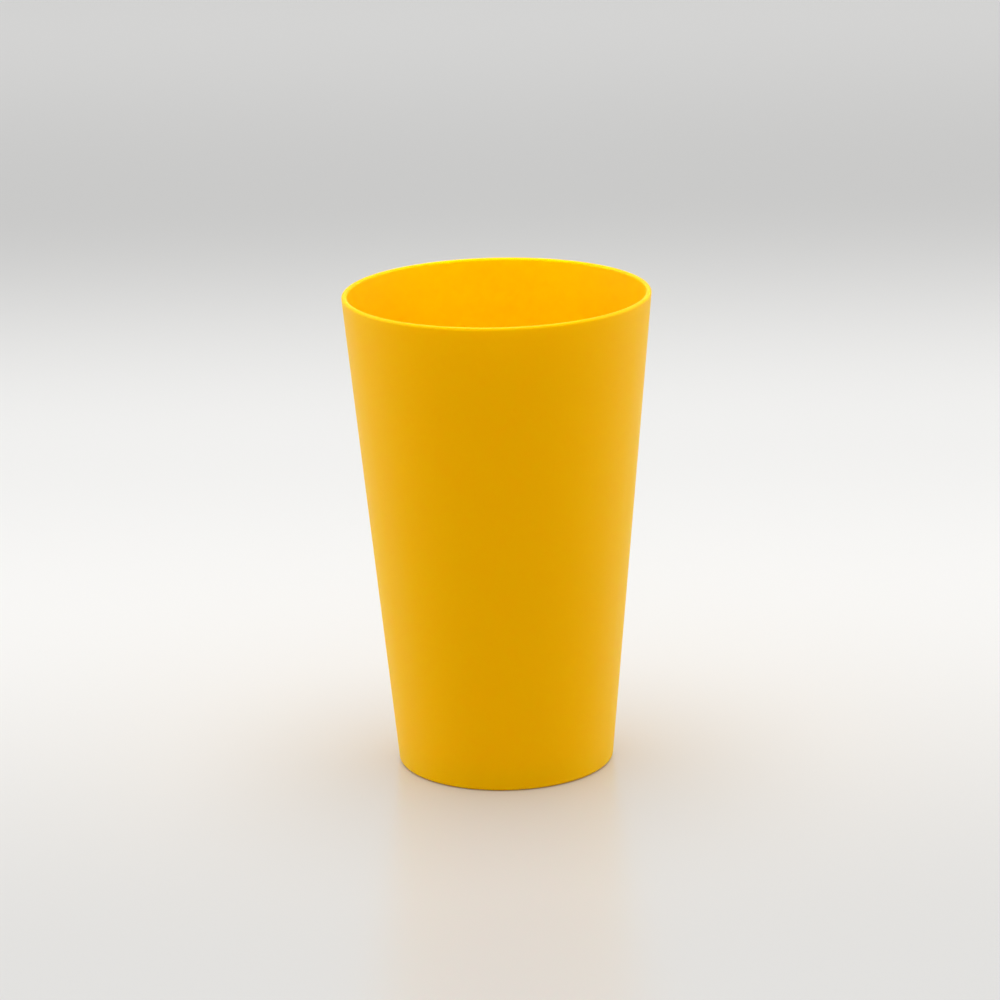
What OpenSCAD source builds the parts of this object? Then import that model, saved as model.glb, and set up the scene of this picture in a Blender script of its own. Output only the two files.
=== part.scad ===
// Reusable drinking cup, moulded in one shot of opaque polypropylene.
// It has a straight tapered side, a lip rounded over its full thickness, and a raised floor
// above a hollow, so that the cup stands on a narrow ring.
// Lengths are in millimetres and angles in degrees. The cup's axis is Z, and it stands on z = 0.

/* [Cup] */
// Outside diameter at the lip, where the cup is widest
rim_d = 84; // [72:1:100]
// Outside diameter at the table, before the foot's edge is rounded
foot_d = 59.6; // [48:0.2:70]
// Height from the table to the top of the lip
cup_h = 133; // [90:1:170]

/* [Wall] */
// Thickness of the side, and so of the lip
side_t = 1.5; // [1:0.1:3]
// Thickness of the floor
floor_t = 1.8; // [1:0.1:4]
// Radius of the inside corner between the side and the floor
inside_corner_r = 4; // [1:0.5:10]

/* [Foot] */
// Depth of the hollow under the floor
hollow_h = 3; // [2:0.5:8]
// Draft of the hollow's side, which lets the cup leave its mould
hollow_draft = 5; // [1:1:15]
// Radius of the corner between the hollow's side and the underside of the floor
hollow_corner_r = 0.8; // [0.2:0.1:1.2]
// Width of the flat land that touches the table
land_w = 0.8; // [0.4:0.1:2]
// Radius of the foot's outer edge
foot_edge_r = 1.2; // [0.2:0.1:2.5]
// Radius of the foot's inner edge, towards the hollow
hollow_edge_r = 0.4; // [0.1:0.1:0.6]

/* [Gate mark] */
// Diameter of the shallow dimple at the middle of the underside
dimple_d = 8; // [4:0.5:14]
// Depth of the dimple
dimple_h = 0.5; // [0.2:0.1:0.8]
// Slope of the dimple's side, from the cup's axis
dimple_slope = 45; // [10:5:60]
// Diameter of the small stub where the plastic flowed in
gate_d = 1.8; // [1:0.2:3]
// Height of that stub, which stays inside the dimple
gate_h = 0.3; // [0.1:0.1:0.5]

/* [Hidden] */
$fn = 180;
// Angle that each short chord of a rounded edge turns through
chord_turn = 6;

function unit(v) = v / norm(v);

function turned(v, angle) =
    [v.x * cos(angle) - v.y * sin(angle), v.x * sin(angle) + v.y * cos(angle)];

// How far a rounded edge reaches along each of its two sides, which lie `between` degrees apart
function edge_reach(radius, between) = radius / tan(between / 2);

// Points of an arc about centre, from start, turning left where sweep is positive
function arc(centre, start, sweep) =
    let (chords = max(1, ceil(abs(sweep) / chord_turn)))
    [for (i = [0 : chords]) centre + turned(start - centre, sweep * i / chords)];

// Arc that rounds a corner on the way from one point to the next
function rounded(before, corner, after, radius) =
    let (
        back = unit(before - corner),
        ahead = unit(after - corner),
        between = acos(back * ahead),
        centre = corner + unit(back + ahead) * radius / sin(between / 2),
        start = corner + back * edge_reach(radius, between),
        way = sign(cross(ahead, back))
    )
    arc(centre, start, way * (180 - between));

// Radii of the round parts
lip_r = side_t / 2;
foot_r = foot_d / 2;
dimple_r = dimple_d / 2;
gate_r = gate_d / 2;

// Middle of the round lip, half a thickness in from the widest place and down from the top
lip_centre = [rim_d / 2 - lip_r, cup_h - lip_r];

// Tilt of the side from the axis: its outer line leaves the foot's corner and touches the lip
lip_from_foot = lip_centre - [foot_r, 0];
side_tilt = atan2(lip_from_foot.x, lip_from_foot.y) + asin(lip_r / norm(lip_from_foot));
side_out = [cos(side_tilt), -sin(side_tilt)];
lip_outer = lip_centre + lip_r * side_out;
lip_inner = lip_centre - lip_r * side_out;

// Floor, from its underside to its top
floor_under = hollow_h;
floor_top = hollow_h + floor_t;
floor_corner = [lip_inner.x - (lip_inner.y - floor_top) * tan(side_tilt), floor_top];

// Ring foot: the two rounded edges take their share of the ring on each side of the land
foot_corner = [foot_r, 0];
land_outer = foot_r - edge_reach(foot_edge_r, 90 + side_tilt);
land_inner = land_outer - land_w;
hollow_edge = [land_inner - edge_reach(hollow_edge_r, 90 + hollow_draft), 0];
hollow_corner = [hollow_edge.x - hollow_h * tan(hollow_draft), floor_under];

// Dimple and gate stub, cut into the underside of the floor
dimple_top = floor_under + dimple_h;
dimple_mouth_r = dimple_r + dimple_h * tan(dimple_slope);
gate_tip = dimple_top - gate_h;

// Half section of the gate mark, from the axis to the plain underside
gate_mark = [
    [0, gate_tip],
    [gate_r, gate_tip],
    [gate_r, dimple_top],
    [dimple_r, dimple_top],
    [dimple_mouth_r, floor_under]
];

// Half section of the foot, from the hollow round to the outer side
foot = concat(
    rounded([dimple_mouth_r, floor_under], hollow_corner, hollow_edge, hollow_corner_r),
    rounded(hollow_corner, hollow_edge, foot_corner, hollow_edge_r),
    rounded(hollow_edge, foot_corner, lip_outer, foot_edge_r)
);

// Half section of the lip, over from the outer side to the inner one
lip = arc(lip_centre, lip_outer, 180);

// Half section of the inside, from the side round to the middle of the floor
inside = concat(
    rounded(lip_inner, floor_corner, [0, floor_top], inside_corner_r),
    [[0, floor_top]]
);

module cup() {
    color("#F5B400")
        rotate_extrude()
            polygon(concat(gate_mark, foot, lip, inside));
}

cup();
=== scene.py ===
# %% [markdown]
# # A reusable drinking cup
# The object is one piece of moulded polypropylene: a straight tapered side, a round lip and a
# ring foot. The lesson draws its half section, turns that into a mesh, gives the plastic its
# satin finish, and then sets up a sweep, a camera and soft studio light.
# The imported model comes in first. It fixes where the cup stands and how big it is.

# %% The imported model
import math

import bpy
from mathutils import Matrix, Quaternion, Vector
from mathutils.bvhtree import BVHTree


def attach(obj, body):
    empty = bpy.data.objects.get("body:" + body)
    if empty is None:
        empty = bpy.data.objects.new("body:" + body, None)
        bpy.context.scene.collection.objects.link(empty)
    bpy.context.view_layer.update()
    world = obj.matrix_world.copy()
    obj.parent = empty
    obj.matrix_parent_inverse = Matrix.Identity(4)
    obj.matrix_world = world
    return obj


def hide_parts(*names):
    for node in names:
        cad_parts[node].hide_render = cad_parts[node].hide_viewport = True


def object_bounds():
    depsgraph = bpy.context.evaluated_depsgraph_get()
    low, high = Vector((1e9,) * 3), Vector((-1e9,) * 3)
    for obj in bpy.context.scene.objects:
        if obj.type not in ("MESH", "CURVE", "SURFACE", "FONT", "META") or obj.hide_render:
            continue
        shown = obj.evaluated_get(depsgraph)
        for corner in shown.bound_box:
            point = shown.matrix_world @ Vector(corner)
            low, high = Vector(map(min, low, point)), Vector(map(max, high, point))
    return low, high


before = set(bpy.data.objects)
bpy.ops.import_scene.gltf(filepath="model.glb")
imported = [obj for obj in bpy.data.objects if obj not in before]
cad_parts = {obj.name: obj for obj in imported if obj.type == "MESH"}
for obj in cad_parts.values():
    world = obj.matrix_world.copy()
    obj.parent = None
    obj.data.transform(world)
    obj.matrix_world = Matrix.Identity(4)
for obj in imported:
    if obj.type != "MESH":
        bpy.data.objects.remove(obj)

MM = 0.001
cad_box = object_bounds()
solid_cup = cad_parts["cup"]
print("packed model:", [round(side / MM, 2) for side in cad_box[1] - cad_box[0]], "mm")

# %% [markdown]
# ## Sizes
# A cup maker would give a few sizes and let the rest follow. The width and height come from the
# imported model, and so does the narrow land that the cup stands on: its corners are the only
# points that lie on the table. The other sizes are the wall and the small rounded edges.

# %% Sizes of the cup
lip_width_radius = cad_box[1].x
cup_height = cad_box[1].z
on_table = [p.co.xy.length for p in solid_cup.data.vertices if p.co.z < 0.001 * MM]
land_outer = max(on_table)
land_inner = min(on_table)

side_thickness = 1.5 * MM
floor_thickness = 1.8 * MM
inside_corner = 4.0 * MM
hollow_depth = 3.0 * MM
hollow_draft = math.radians(5)
hollow_corner = 0.8 * MM
foot_edge = 1.2 * MM
hollow_edge = 0.4 * MM
dimple_radius = 4.0 * MM
dimple_depth = 0.5 * MM
gate_radius = 0.9 * MM
gate_height = 0.3 * MM
print("land on the table:", round(land_inner / MM, 2), "to", round(land_outer / MM, 2), "mm")

# %% [markdown]
# ## Arcs
# The half section is straight lines joined by arcs. A bevel would make them too, but its arcs
# are only round at square corners, so here each one is worked out: a centre, a first point and
# the angle to sweep. A point is (distance from the axis, height).

# %% Arcs and rounded corners
ARC_STEP = math.radians(6)


def turned(offset, angle):
    return Matrix.Rotation(angle, 2) @ offset


def arc(centre, start, sweep):
    steps = math.ceil(abs(sweep) / ARC_STEP)
    return [centre + turned(start - centre, sweep * i / steps) for i in range(steps + 1)]


def edge_reach(radius, between):
    """How far a rounded corner reaches along each side."""
    return radius / math.tan(between / 2)


def rounded(before, corner, after, radius):
    """The arc that takes the corner off on the way from before to after."""
    back = (before - corner).normalized()
    ahead = (after - corner).normalized()
    between = back.angle(ahead)
    centre = corner + (back + ahead).normalized() * radius / math.sin(between / 2)
    start = corner + back * edge_reach(radius, between)
    way = math.copysign(1, ahead.cross(back))
    return arc(centre, start, way * (math.pi - between))


# %% [markdown]
# ## The side's taper
# The side leaves the foot's outer corner and runs up until it touches the round lip. That fixes
# its tilt. The foot's corner itself is rounded off, so it is found from the land: the rounded
# edge reaches a little way in from the corner, and by an amount that depends on the tilt. Three
# rounds of working out one from the other settle both.

# %% Tilt of the side
lip_radius = side_thickness / 2
lip_centre = Vector((lip_width_radius - lip_radius, cup_height - lip_radius))
side_tilt = 0.0
for _ in range(3):
    foot_radius = land_outer + edge_reach(foot_edge, math.radians(90) + side_tilt)
    rise = lip_centre - Vector((foot_radius, 0))
    side_tilt = math.atan2(rise.x, rise.y) + math.asin(lip_radius / rise.length)
outward = Vector((math.cos(side_tilt), -math.sin(side_tilt)))
lip_outer = lip_centre + lip_radius * outward
lip_inner = lip_centre - lip_radius * outward
print("tilt of the side:", round(math.degrees(side_tilt), 2), "degrees")

# %% [markdown]
# ## The half section
# The outline starts on the axis under the floor and runs round the foot, up the side, over the
# lip and down the inside to the axis again. The small stub in the dimple is where the plastic
# flowed into the mould.

# %% Outline of the cup
underside = hollow_depth
floor_top = hollow_depth + floor_thickness
dimple_top = underside + dimple_depth
foot_corner = Vector((foot_radius, 0))
edge_corner = Vector((land_inner - edge_reach(hollow_edge, math.radians(90) + hollow_draft), 0))
hollow_top = Vector((edge_corner.x - hollow_depth * math.tan(hollow_draft), underside))
dimple_mouth = Vector((dimple_radius + dimple_depth, underside))
floor_corner = Vector((lip_inner.x - (lip_inner.y - floor_top) * math.tan(side_tilt), floor_top))

gate_mark = [
    Vector((0, dimple_top - gate_height)),
    Vector((gate_radius, dimple_top - gate_height)),
    Vector((gate_radius, dimple_top)),
    Vector((dimple_radius, dimple_top)),
    dimple_mouth,
]
foot = [
    *rounded(dimple_mouth, hollow_top, edge_corner, hollow_corner),
    *rounded(hollow_top, edge_corner, foot_corner, hollow_edge),
    *rounded(edge_corner, foot_corner, lip_outer, foot_edge),
]
lip = arc(lip_centre, lip_outer, math.pi)
floor_middle = Vector((0, floor_top))
inside = [*rounded(lip_inner, floor_corner, floor_middle, inside_corner), floor_middle]
outline = gate_mark + foot + lip + inside
print("outline:", len(outline), "points")

# %% [markdown]
# ## From outline to mesh
# A Screw modifier would turn the outline round the axis. Writing the rings out is as short, and
# it lets the long straight side be cut into even lengths first, so that its faces aren't long
# needles. Both ends of the outline lie on the axis, so each is a single point with a fan of
# triangles round it.

# %% Turning the outline round the axis
AROUND = 256
LONGEST_FACE = 5 * MM


def with_even_lengths(points):
    """The same outline with long straight stretches cut up."""
    cut = [points[0]]
    for start, end in zip(points, points[1:]):
        pieces = math.ceil((end - start).length / LONGEST_FACE)
        cut += [start.lerp(end, i / pieces) for i in range(1, pieces + 1)]
    return cut


def turned_shell(name, points):
    """A closed mesh whose outline runs from the axis to the axis."""
    rings = points[1:-1]
    places = [(0, 0, points[0].y)]
    for radius, height in rings:
        for i in range(AROUND):
            angle = math.tau * i / AROUND
            places.append((radius * math.cos(angle), radius * math.sin(angle), height))
    places.append((0, 0, points[-1].y))
    last = len(places) - 1

    def place(ring, i):
        return 1 + ring * AROUND + i % AROUND

    faces = []
    for i in range(AROUND):
        faces.append((0, place(0, i + 1), place(0, i)))
        for ring in range(len(rings) - 1):
            below, above = place(ring, i), place(ring + 1, i)
            faces.append((below, place(ring, i + 1), place(ring + 1, i + 1), above))
        faces.append((place(len(rings) - 1, i), place(len(rings) - 1, i + 1), last))
    mesh = bpy.data.meshes.new(name)
    mesh.from_pydata(places, [], faces)
    mesh.validate()
    return mesh


shell_mesh = turned_shell("cup_shell", with_even_lengths(outline))
cup_shell = bpy.data.objects.new("cup_shell", shell_mesh)
bpy.context.scene.collection.objects.link(cup_shell)
print("shell:", len(shell_mesh.vertices), "points and", len(shell_mesh.polygons), "faces")

# %% [markdown]
# ## Smooth shading
# The faces are shaded smooth, except across the crisp corners of the gate mark. Plain smooth
# shading gives a tiny face as much say as a long one, and the straight side would look bent
# next to the lip. The Weighted Normal modifier lets the large faces decide.

# %% Shading of the shell
CRISP_CORNER = math.radians(30)
shell_mesh.shade_smooth()
shell_mesh.set_sharp_from_angle(angle=CRISP_CORNER)
weighted = cup_shell.modifiers.new("straight_side_stays_straight", "WEIGHTED_NORMAL")
weighted.mode = "FACE_AREA"
weighted.keep_sharp = True

# %% [markdown]
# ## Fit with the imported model
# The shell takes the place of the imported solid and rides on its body. The distance from each
# corner of the solid to the shell shows that both have the same form.

# %% Shell on its body
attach(cup_shell, "root")
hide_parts("cup")

skin = BVHTree.FromObject(cup_shell, bpy.context.evaluated_depsgraph_get())
furthest = max(skin.find_nearest(p.co)[3] for p in solid_cup.data.vertices)
print("furthest that the solid lies from the shell:", round(furthest / MM, 4), "mm")

# %% [markdown]
# ## Polypropylene
# The plastic is coloured right through. Light goes a millimetre or two into it and comes out
# again near by, which softens the lip. Subsurface scattering does that, and here it carries the
# whole colour. The gloss is broad and weak. Head on it takes up the yellow, and only at a low
# angle does it turn white, which the specular tint does.

# %% Body of the plastic
plastic = bpy.data.materials.new("moulded_polypropylene")
plastic.use_nodes = True
nodes = plastic.node_tree.nodes
links = plastic.node_tree.links
surface = nodes["Principled BSDF"]

surface.inputs["IOR"].default_value = 1.49
surface.inputs["Specular Tint"].default_value = (1.0, 0.66, 0.06, 1.0)
surface.inputs["Specular IOR Level"].default_value = 0.15
surface.inputs["Subsurface Weight"].default_value = 1.0
surface.inputs["Subsurface Radius"].default_value = (0.5, 0.9, 0.08)
surface.inputs["Subsurface Scale"].default_value = 2.0 * MM

where = nodes.new("ShaderNodeTexCoord")
where.label = "place on the cup"

# %% [markdown]
# ## Pigment
# Yellow masterbatch never mixes perfectly. A slow noise moves the colour between two yellows
# that lie close together, so that large plain areas stay alive without looking marked.

# %% Colour of the plastic
pigment_clouds = nodes.new("ShaderNodeTexNoise")
pigment_clouds.label = "pigment clouds"
pigment_clouds.inputs["Scale"].default_value = 30.0
pigment_clouds.inputs["Detail"].default_value = 3.0
links.new(where.outputs["Object"], pigment_clouds.inputs["Vector"])

pigment = nodes.new("ShaderNodeValToRGB")
pigment.label = "pigment"
pigment.color_ramp.elements[0].position = 0.35
pigment.color_ramp.elements[0].color = (0.925, 0.500, 0.0, 1.0)
pigment.color_ramp.elements[1].position = 0.65
pigment.color_ramp.elements[1].color = (0.930, 0.505, 0.0, 1.0)
links.new(pigment_clouds.outputs["Fac"], pigment.inputs["Fac"])
links.new(pigment.outputs["Color"], surface.inputs["Base Color"])

# %% [markdown]
# ## Satin finish
# The melt flows from the gate up the side as the mould fills, and the gloss wanders a little
# along those lines. A noise that is stretched along the axis gives them, and it moves only the
# roughness, because the surface itself stays even.

# %% Roughness along the flow
flow_stretch = nodes.new("ShaderNodeMapping")
flow_stretch.label = "stretched up the side"
flow_stretch.inputs["Scale"].default_value = (1.0, 1.0, 0.08)
links.new(where.outputs["Object"], flow_stretch.inputs["Vector"])

flow = nodes.new("ShaderNodeTexNoise")
flow.label = "flow of the melt"
flow.inputs["Scale"].default_value = 140.0
flow.inputs["Detail"].default_value = 2.0
links.new(flow_stretch.outputs["Vector"], flow.inputs["Vector"])

satin = nodes.new("ShaderNodeMapRange")
satin.label = "satin roughness"
satin.inputs["From Min"].default_value = 0.3
satin.inputs["From Max"].default_value = 0.7
satin.inputs["To Min"].default_value = 0.42
satin.inputs["To Max"].default_value = 0.5
links.new(flow.outputs["Fac"], satin.inputs["Value"])
links.new(satin.outputs["Result"], surface.inputs["Roughness"])

# %% [markdown]
# ## Grain of the mould
# The steel mould is finely blasted, and the plastic copies it. The grain is about a fifth of a
# millimetre wide, too fine to model, so a Bump node makes it from a noise. It breaks up the
# gloss and can't be seen on its own.

# %% Grain of the mould
grain = nodes.new("ShaderNodeTexNoise")
grain.label = "blasted grain"
grain.inputs["Scale"].default_value = 5000.0
grain.inputs["Detail"].default_value = 1.0
links.new(where.outputs["Object"], grain.inputs["Vector"])

grain_bump = nodes.new("ShaderNodeBump")
grain_bump.label = "fine grain"
grain_bump.inputs["Strength"].default_value = 0.2
grain_bump.inputs["Distance"].default_value = 0.01 * MM
links.new(grain.outputs["Fac"], grain_bump.inputs["Height"])
links.new(grain_bump.outputs["Normal"], surface.inputs["Normal"])

cup_shell.data.materials.append(plastic)
print("plastic:", len(nodes), "nodes")

# %% [markdown]
# ## Sweep
# The cup stands on a wide sheet of white paper with a faint gloss, in which its yellow shows just
# in front of the foot. One large face is enough for it, because it is flat as far as the camera
# sees.

# %% Paper under the cup
PAPER_REACH = 6.0
paper_mesh = bpy.data.meshes.new("paper_sweep")
corners = [(-1, -1), (1, -1), (1, 1), (-1, 1)]
paper_corners = [(x * PAPER_REACH, y * PAPER_REACH, 0) for x, y in corners]
paper_mesh.from_pydata(paper_corners, [], [(0, 1, 2, 3)])
paper = bpy.data.objects.new("paper_sweep", paper_mesh)
bpy.context.scene.collection.objects.link(paper)

paper_white = bpy.data.materials.new("white_paper")
paper_white.use_nodes = True
paper_nodes = paper_white.node_tree.nodes
paper_links = paper_white.node_tree.links
paper_surface = paper_nodes["Principled BSDF"]
paper_surface.inputs["Roughness"].default_value = 0.28
paper_mesh.materials.append(paper_white)

# %% [markdown]
# ## Painted light on the sweep
# Behind the cup a real sweep curves up, and the curve takes less of the light from above than
# the part that lies flat. The sheet here stays flat, so a colour ramp along its depth paints that
# light and shade into the paper's colour: a painted pool of light just behind the cup, a painted
# grey band of shade where the curve would be, and painted shade along the front edge.

# %% Painted light and shade from front to back
PAPER_TINT = (1.0, 0.996, 0.98)
# painted light and shade: the paper's whiteness at each depth, brightest in the painted pool of
# light behind the cup
painted_light_along_sweep = [(-0.15, 0.69), (0.15, 0.87), (0.33, 0.82), (0.75, 0.51), (1.3, 0.66)]
front_end = painted_light_along_sweep[0][0]
back_end = painted_light_along_sweep[-1][0]

paper_place = paper_nodes.new("ShaderNodeTexCoord")
paper_place.label = "place on the paper"
depth = paper_nodes.new("ShaderNodeSeparateXYZ")
depth.label = "depth behind the cup"
paper_links.new(paper_place.outputs["Object"], depth.inputs["Vector"])

along_ramp = paper_nodes.new("ShaderNodeMapRange")
along_ramp.label = "from the front to the back"
along_ramp.inputs["From Min"].default_value = front_end
along_ramp.inputs["From Max"].default_value = back_end
paper_links.new(depth.outputs["Y"], along_ramp.inputs["Value"])

tone = paper_nodes.new("ShaderNodeValToRGB")
tone.label = "painted light and shade of the sweep"
tone.color_ramp.interpolation = "EASE"
for _ in painted_light_along_sweep[2:]:
    tone.color_ramp.elements.new(0.5)
for stop, (distance, whiteness) in zip(tone.color_ramp.elements, painted_light_along_sweep):
    stop.position = (distance - front_end) / (back_end - front_end)
    stop.color = [whiteness * part for part in PAPER_TINT] + [1.0]
paper_links.new(along_ramp.outputs["Result"], tone.inputs["Fac"])
# the ramp paints the sweep's light and shade into the paper's base colour
paper_links.new(tone.outputs["Color"], paper_surface.inputs["Base Color"])
print("paper:", len(painted_light_along_sweep), "tones from", front_end, "to", back_end, "m")

# %% [markdown]
# ## Camera
# The camera looks at the middle of the cup from about a metre away and a little above, with a
# long lens. It was held slightly crooked, and the cup sits a little below the middle of the
# picture, so the view is rolled and then lifted.

# %% Camera at the photograph's angle
PICTURE_SIDE = 1000
focal_length_px = 3964.1
cup_middle_px = (501.5, 526.7)
eye_distance = 1.0917
look_down = math.radians(16.638)
roll = math.radians(-1.26)

camera = bpy.data.objects.new("camera", bpy.data.cameras.new("camera"))
bpy.context.scene.collection.objects.link(camera)
bpy.context.scene.camera = camera
camera.data.sensor_width = 36.0
camera.data.lens = camera.data.sensor_width * focal_length_px / PICTURE_SIDE

cup_middle = Vector((0, 0, cup_height / 2))
towards_eye = Vector((0, -math.cos(look_down), math.sin(look_down)))
aside = math.atan((cup_middle_px[0] - PICTURE_SIDE / 2) / focal_length_px)
lift = math.atan((cup_middle_px[1] - PICTURE_SIDE / 2) / focal_length_px)
camera.location = cup_middle + towards_eye * eye_distance
camera.rotation_mode = "QUATERNION"
camera.rotation_quaternion = (
    (-towards_eye).to_track_quat("-Z", "Y")
    @ Quaternion((0, 0, 1), roll)
    @ Quaternion((1, 0, 0), lift)
    @ Quaternion((0, 1, 0), aside)
)
print("lens:", round(camera.data.lens, 1), "mm")

# %% [markdown]
# ## Room and soft boxes
# Product light for a cup is soft and even: a white room, one soft box above and a little behind,
# which brightens the paper, and one on each side, which lightens the flanks. The front is left
# a shade darker, and that gives the cup its form. Next to a side box the paper would turn plain
# white, so photographers keep its light off the paper with dark cards. Light linking does that
# here: the side boxes only light what is in their collection.

# %% Room and soft boxes
world = bpy.data.worlds.new("white_room")
bpy.context.scene.world = world
world.use_nodes = True
room = world.node_tree.nodes["Background"]
room.inputs["Color"].default_value = (1.0, 1.0, 1.0, 1.0)
room.inputs["Strength"].default_value = 0.79


def lamp_towards(name, kind, place, aim, watts):
    lamp = bpy.data.objects.new(name, bpy.data.lights.new(name, kind))
    bpy.context.scene.collection.objects.link(lamp)
    lamp.data.energy = watts
    lamp.location = place
    lamp.rotation_mode = "QUATERNION"
    lamp.rotation_quaternion = (aim - place).to_track_quat("-Z", "Y")
    lamp.visible_camera = False
    return lamp


def soft_box(name, place, aim, width, height, watts):
    box = lamp_towards(name, "AREA", Vector(place), Vector(aim), watts)
    box.data.shape = "RECTANGLE"
    box.data.size = width
    box.data.size_y = height
    return box


soft_box("soft_box_above", (0, 0.1, 1.3), (0, 0.1, 0), width=0.9, height=0.9, watts=6.5)

cup_only = bpy.data.collections.new("cup_only")
cup_only.objects.link(cup_shell)
for name, across in (("soft_box_left", -1.09), ("soft_box_right", 1.09)):
    place = (across, 0.29, 0.6)
    side_box = soft_box(name, place, (0, 0, 0.07), width=0.5, height=0.8, watts=3.8)
    side_box.light_linking.receiver_collection = cup_only

# %% [markdown]
# ## Light into the mouth
# A cup's inside goes dark under soft light, because its own wall is in the way. Photographers put
# a narrow lamp, a snoot, over the rim and aim it at the inside of the far wall. Here there are
# four, so that the inside glows from every side, and the one over the camera is the strongest. A
# fifth shines straight down to the floor of the cup. What misses the cup would draw rings on the
# paper, so these lamps are linked to the cup too.

# %% Snoots
SNOOT_DISTANCE = 0.9
SNOOT_RADIUS = 20 * MM
SOFT_EDGE = 0.4
HEIGHT_ANGLE = math.radians(42)
BELOW_THE_LIP = 15 * MM
WALL_CONE = math.radians(5.3)
FLOOR_CONE = math.radians(3.8)


def snoot(name, place, aim, cone, watts):
    lamp = lamp_towards(name, "SPOT", place, aim, watts)
    lamp.data.spot_size = cone
    lamp.data.spot_blend = SOFT_EDGE
    lamp.data.shadow_soft_size = SNOOT_RADIUS
    lamp.light_linking.receiver_collection = cup_only


wall_snoots = [("front", 0, 17.2), ("right", 90, 1.5), ("back", 180, 2.5), ("left", 270, 1.5)]
for side, azimuth, watts in wall_snoots:
    outwards = Matrix.Rotation(math.radians(azimuth), 3, "Z") @ Vector((0, -1, 0))
    far_wall = -outwards * lip_inner.x + Vector((0, 0, cup_height - BELOW_THE_LIP))
    rising = Vector((0, 0, math.sin(HEIGHT_ANGLE))) + outwards * math.cos(HEIGHT_ANGLE)
    snoot("snoot_" + side, far_wall + rising * SNOOT_DISTANCE, far_wall, WALL_CONE, watts)

overhead = Vector((0, 0, cup_height + SNOOT_DISTANCE))
snoot("snoot_above", overhead, Vector((0, 0, 0)), FLOOR_CONE, 14.0)
print("lamps:", len(bpy.data.lights))

# %% [markdown]
# ## Finish
# The Standard view shows colours as they are written.

# %% Finish
bpy.context.scene.view_settings.view_transform = "Standard"
